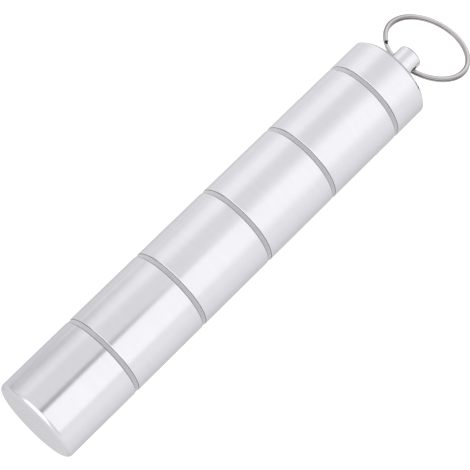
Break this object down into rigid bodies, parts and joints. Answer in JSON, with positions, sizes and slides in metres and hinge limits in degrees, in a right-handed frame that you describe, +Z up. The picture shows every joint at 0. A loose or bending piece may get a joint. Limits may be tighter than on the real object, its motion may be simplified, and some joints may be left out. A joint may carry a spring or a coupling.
{
  "type": "pill fob keychain",
  "caption": "Stackable screw-together aluminium pill tube with sealed compartments, a knobbed cap and a split key ring.",
  "frame": {"origin": "centre of the flat base face, on the tube's axis", "axes": "+X along the tube from the base to the cap, +Z up with the tube lying on its side; the table is 10 mm below the axis"},
  "size_m": [0.1293, 0.0204, 0.02],
  "materials": {
    "tube_aluminium": "fine turned, satin to semi-polished",
    "seal_rubber": "smooth grey silicone",
    "ring_steel": "drawn spring steel, polished"
  },
  "bodies": {
    "cup_1": {"cup_1": "tube_aluminium"},
    "cup_2": {"cup_2": "tube_aluminium"},
    "cup_3": {"cup_3": "tube_aluminium"},
    "cup_4": {"cup_4": "tube_aluminium"},
    "cup_5": {"cup_5": "tube_aluminium"},
    "cap": {"cap": "tube_aluminium"},
    "seal_1": {"seal_1": "seal_rubber"},
    "seal_2": {"seal_2": "seal_rubber"},
    "seal_3": {"seal_3": "seal_rubber"},
    "seal_4": {"seal_4": "seal_rubber"},
    "seal_5": {"seal_5": "seal_rubber"},
    "split_ring": {"split_ring": "ring_steel"}
  },
  "joints": [
    {"name": "lift_1", "type": "slide", "parent": "cup_1", "child": "seal_1", "axis": [1, 0, 0], "range_m": [0, 0.005]},
    {"name": "screw_1", "type": "hinge", "parent": "seal_1", "child": "cup_2", "pos_m": [0.0201, 0, 0], "axis": [1, 0, 0], "range_deg": [0, 1800]},
    {"name": "lift_2", "type": "slide", "parent": "cup_2", "child": "seal_2", "axis": [1, 0, 0], "range_m": [0, 0.005]},
    {"name": "screw_2", "type": "hinge", "parent": "seal_2", "child": "cup_3", "pos_m": [0.03977, 0, 0], "axis": [1, 0, 0], "range_deg": [0, 1800]},
    {"name": "lift_3", "type": "slide", "parent": "cup_3", "child": "seal_3", "axis": [1, 0, 0], "range_m": [0, 0.005]},
    {"name": "screw_3", "type": "hinge", "parent": "seal_3", "child": "cup_4", "pos_m": [0.05944, 0, 0], "axis": [1, 0, 0], "range_deg": [0, 1800]},
    {"name": "lift_4", "type": "slide", "parent": "cup_4", "child": "seal_4", "axis": [1, 0, 0], "range_m": [0, 0.005]},
    {"name": "screw_4", "type": "hinge", "parent": "seal_4", "child": "cup_5", "pos_m": [0.07911, 0, 0], "axis": [1, 0, 0], "range_deg": [0, 1800]},
    {"name": "lift_5", "type": "slide", "parent": "cup_5", "child": "seal_5", "axis": [1, 0, 0], "range_m": [0, 0.005]},
    {"name": "screw_5", "type": "hinge", "parent": "seal_5", "child": "cap", "pos_m": [0.09878, 0, 0], "axis": [1, 0, 0], "range_deg": [0, 1800]},
    {"name": "ring_swing", "type": "hinge", "parent": "cap", "child": "split_ring", "pos_m": [0.1118, 0, -0.0004], "axis": [0, 1, 0], "range_deg": [-158, 100]}
  ],
  "couplings": [
    {"joint": "screw_1", "follows": "lift_1", "rad_per_m": 6283.2},
    {"joint": "screw_2", "follows": "lift_2", "rad_per_m": 6283.2},
    {"joint": "screw_3", "follows": "lift_3", "rad_per_m": 6283.2},
    {"joint": "screw_4", "follows": "lift_4", "rad_per_m": 6283.2},
    {"joint": "screw_5", "follows": "lift_5", "rad_per_m": 6283.2}
  ]
}
